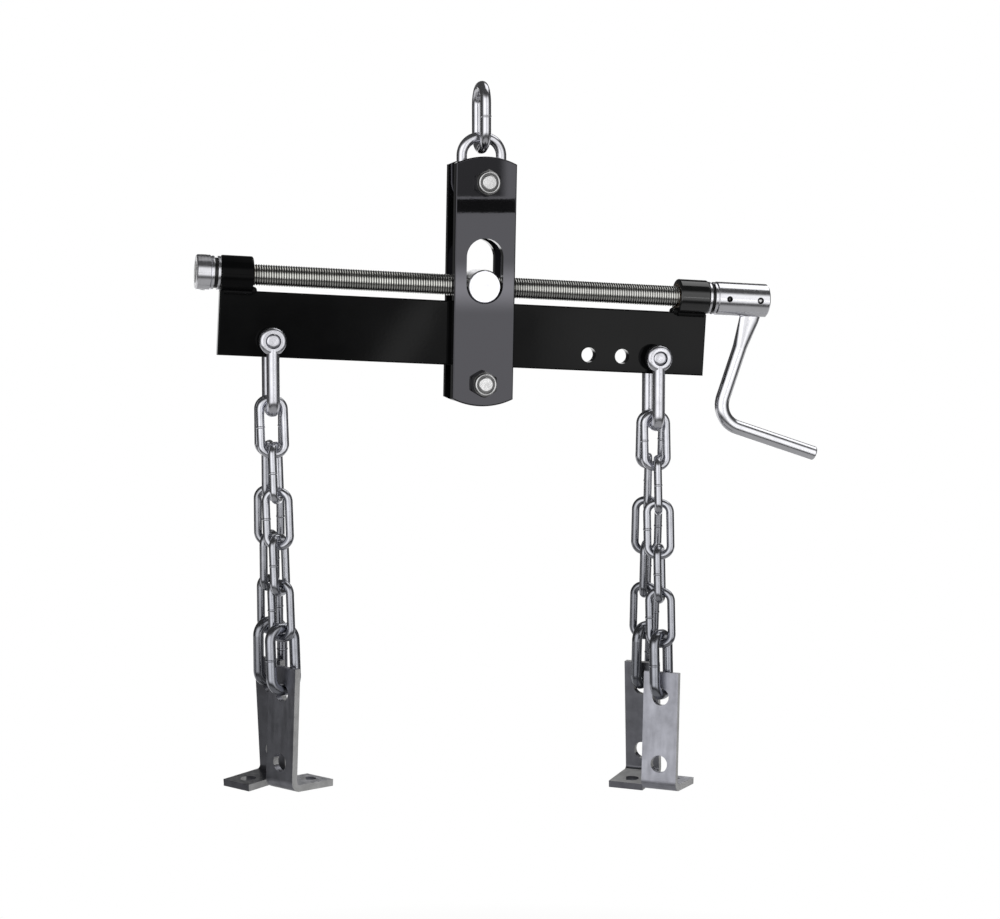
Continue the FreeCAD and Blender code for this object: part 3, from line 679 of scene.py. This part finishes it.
def floor():
    """Pale floor under the hanging leveler, white towards its edge."""
    shape = bmesh.new()
    bmesh.ops.create_circle(shape, cap_ends=True, radius=FLOOR_REACH, segments=FLOOR_SIDES)
    mesh = bpy.data.meshes.new("floor")
    shape.to_mesh(mesh)
    shape.free()
    item = bpy.data.objects.new("floor", mesh)
    item.location = (CAMERA_AIM.x, 0.0, cad_box[0].z - FLOOR_DROP)
    bpy.context.scene.collection.objects.link(item)
    material, tree, shader = tree_of("pale_floor")
    shader.inputs["Roughness"].default_value = 0.7
    shader.inputs["Base Color"].default_value = (*grey(FLOOR_TONE), 1.0)
    output = tree.nodes["Material Output"]
    source = tree.nodes.new("ShaderNodeTexCoord")
    length = tree.nodes.new("ShaderNodeVectorMath")
    length.operation = "LENGTH"
    tree.links.new(source.outputs["Object"], length.inputs[0])
    fade = spread(tree, length.outputs["Value"], 0.0, 1.0, *FLOOR_FADE)
    glow = tree.nodes.new("ShaderNodeEmission")
    mix = tree.nodes.new("ShaderNodeMixShader")
    tree.links.new(fade, mix.inputs["Fac"])
    tree.links.new(shader.outputs["BSDF"], mix.inputs[1])
    tree.links.new(glow.outputs["Emission"], mix.inputs[2])
    tree.links.new(mix.outputs["Shader"], output.inputs["Surface"])
    mesh.materials.append(material)
    item.visible_glossy = False


def camera():
    """Camera at the photograph's angle."""
    data = bpy.data.cameras.new("camera")
    data.lens = CAMERA_LENS
    data.clip_start = 0.05
    data.clip_end = 50.0
    item = bpy.data.objects.new("camera", data)
    back = camera_back()
    item.location = CAMERA_AIM + back * CAMERA_DISTANCE
    item.rotation_mode = "QUATERNION"
    item.rotation_quaternion = (-back).to_track_quat("-Z", "Y")
    bpy.context.scene.collection.objects.link(item)
    bpy.context.scene.camera = item


chain_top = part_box("left_shackle")[1].z
chain_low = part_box("left_front_link_6")[0].z
finishes = {
    "black_paint": enamel("gloss_black_enamel", 0.002, (0.025, 0.045), 0.072, 0.03),
    "zinc_link": metal("zinc_link", 0.70, 0.80, (0.15, 0.22), 200.0, relief=0.0,
                       tint=(0.95, 0.95, 1.0))[0],
    "zinc_fastener": metal("zinc_fastener", 0.58, 0.72, (0.16, 0.30), 500.0)[0],
    "bright_steel": metal("bright_steel", 0.84, 0.93, (0.15, 0.22), 200.0, relief=0.0,
                          tint=(0.96, 0.96, 1.0))[0],
    "dark_steel": metal("bearing_cage", 0.03, 0.06, (0.3, 0.45), 300.0)[0],
    "bronze": metal("sintered_bronze", 0.16, 0.22, (0.3, 0.45), 300.0, tint=(1.0, 0.72, 0.42))[0],
    "screw_steel": screw_metal("screw_steel"),
    "chain_steel": chain_metal("chain_steel", 1.0, chain_top, chain_low),
    "bracket_zinc": bracket_metal("bracket_zinc", 0.45, 0.56),
}
turned = metal("turned_steel", 0.86, 0.94, (0.15, 0.22), 900.0, (1.0, 0.04, 0.04), relief=0.04,
               tint=(0.96, 0.96, 1.0))[0]
yoke_paint = enamel("yoke_black_enamel", 0.0015, (0.008, 0.014), 0.84, 0.004, (0.92, 0.91, 1.0))
dark_pin = metal("dark_pin", 0.05, 0.09, (0.25, 0.4), 500.0)[0]
special = {
    "yoke_plate_front": yoke_paint,
    "yoke_plate_rear": yoke_paint,
    "crank_hub": turned,
    "left_collar": turned,
    "yoke_nuts": metal("nut_steel", 0.10, 0.15, (0.22, 0.36), 500.0)[0],
    "left_collar_pin": dark_pin,
    # Three brackets take darker copies of the bracket zinc: painted shade, set by how the light falls on
    # each.
    "right_rear_bracket": bracket_metal("shaded_right_rear_bracket_zinc", 0.17, 0.22),
    "left_front_bracket": bracket_metal("shaded_left_front_bracket_zinc", 0.27, 0.36),
    "left_rear_bracket": bracket_metal("shaded_left_rear_bracket_zinc", 0.15, 0.20),
    "right_bearing_tube": enamel("tube_enamel", 0.003, (0.08, 0.14), 0.9),
}
shackle_steel = metal("shackle_steel", 0.66, 0.78, (0.18, 0.28), 200.0, relief=0.0,
                      tint=(0.94, 0.94, 1.0))[0]
sheared = sheared_metal("sheared_edge")
# Darker copy of the chain steel for the chains at the rear: painted shade.
shaded_rear_chain = chain_metal("shaded_rear_chain_steel", 0.8, chain_top, chain_low)


def finish_of(node, slot):
    """Finish of a node or of a piece on it."""
    # The rear links and their beads take the darker copy of the chain steel, which is painted shade.
    if "_rear_link_" in node:
        return shaded_rear_chain
    if "_shackle" in node:
        return shackle_steel
    return special.get(node, finishes[slot])


def bracket_edges():
    """Paler sheared edges on both sides of each bracket, and a painted highlight in the same paler finish
    on the top of one foot.
    """
    for name in frame["bodies"]:
        if not name.endswith("bracket"):
            continue
        mesh = frame["nodes"][name].data
        mesh.materials.append(sheared)
        faces = sorted(mesh.polygons, key=lambda polygon: -polygon.area)
        upright = faces[0].normal
        foot = next(polygon.normal for polygon in faces if abs(polygon.normal.dot(upright)) < 0.1)
        across = upright.cross(foot).normalized()
        for polygon in mesh.polygons:
            # The top of one foot takes the paler finish: a painted highlight.
            highlighted_top = name == PAINTED_HIGHLIGHT_FOOT and polygon.normal.z > FACES_ALONG
            if highlighted_top or abs(polygon.normal.dot(across)) > FACES_ALONG:
                polygon.material_index = 1


slots = {subpart["node"]: subpart["material_slot"] for subpart in frame["record"]["subparts"]}
for name, slot in slots.items():
    mesh = frame["nodes"][name].data
    mesh.materials.clear()
    mesh.materials.append(finish_of(name, slot))

bracket_edges()
screw_piece(finishes["screw_steel"])
link_beads()
tube_welds(finishes["black_paint"])
nut_rims(finishes["zinc_fastener"])
pins = {
    "left_shackle_pin": (0.35 * MM, 0.6 * MM, shackle_steel),
    "right_shackle_pin": (0.35 * MM, 0.6 * MM, shackle_steel),
    "crank_hub_pin": (0.5 * MM, 0.5 * MM, dark_pin),
    "crank_pivot_pin": (0.45 * MM, 0.3 * MM, finishes[slots["crank_pivot_pin"]]),
}
for name, (slim, recess, material) in pins.items():
    pin_piece(name, slim, recess, material)

studio_world()
lamp("key", size=0.7, size_y=0.5, power=9.0, place=(-0.5, -1.2, 0.7), aim=CAMERA_AIM)
lamp("fill", size=0.6, size_y=0.9, power=5.0, place=(1.1, -0.9, 0.1), aim=CAMERA_AIM)
floor()
camera()
bpy.context.scene.view_settings.view_transform = "Standard"
